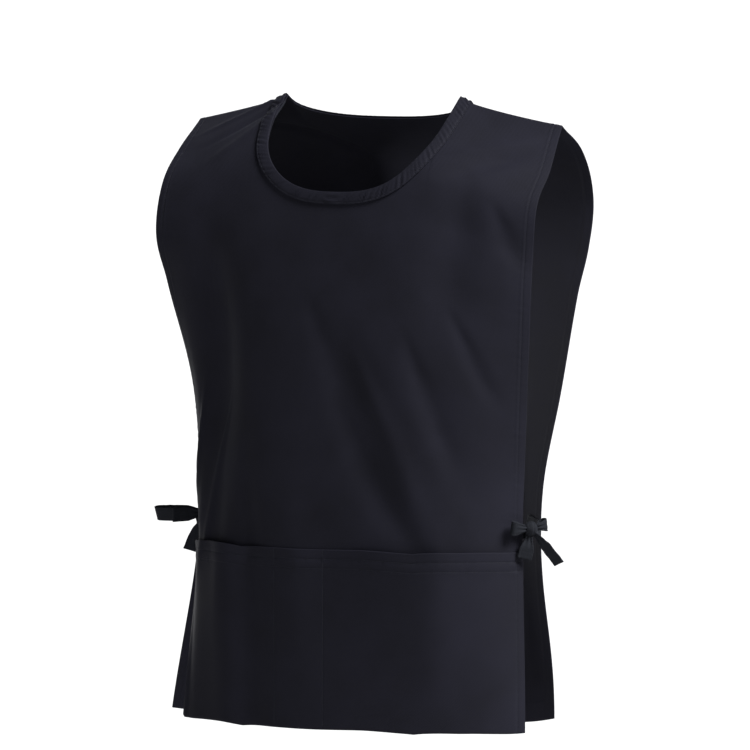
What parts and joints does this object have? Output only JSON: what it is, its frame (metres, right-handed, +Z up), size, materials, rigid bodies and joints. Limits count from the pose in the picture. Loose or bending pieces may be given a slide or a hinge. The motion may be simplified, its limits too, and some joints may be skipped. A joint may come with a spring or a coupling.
{
  "type": "cobbler apron",
  "caption": "Pull-over cobbler apron in dark navy twill with front and back panels, a bound scoop neck, a divided lap pocket and side ties knotted in bows.",
  "frame": {"origin": "midway between the neck ends of the two shoulder seams, where the apron sits on the wearer's shoulders", "axes": "+Z up along the wearer's body, -Y out of the wearer's chest, +X towards the wearer's left"},
  "size_m": [0.5405, 0.2345, 0.7391],
  "materials": {
    "cloth": "navy polyester-cotton twill, matt with a faint sheen",
    "binding": "navy twill cut on the bias, turned and stitched",
    "tie": "navy twill folded to a flat tape and stitched"
  },
  "bodies": {
    "root": {"front_panel": "cloth", "back_panel": "cloth", "neck_binding": "binding", "pocket": "cloth", "tie_front_left": "tie", "tie_back_left": "tie", "bow_left_knot": "tie", "bow_left_loop_front": "tie", "bow_left_loop_back": "tie", "bow_left_tail_long": "tie", "bow_left_tail_short": "tie", "tie_front_right": "tie", "tie_back_right": "tie", "bow_right_knot": "tie", "bow_right_loop_out": "tie", "bow_right_loop_in": "tie", "bow_right_tail_out": "tie", "bow_right_tail_down": "tie"}
  },
  "joints": []
}
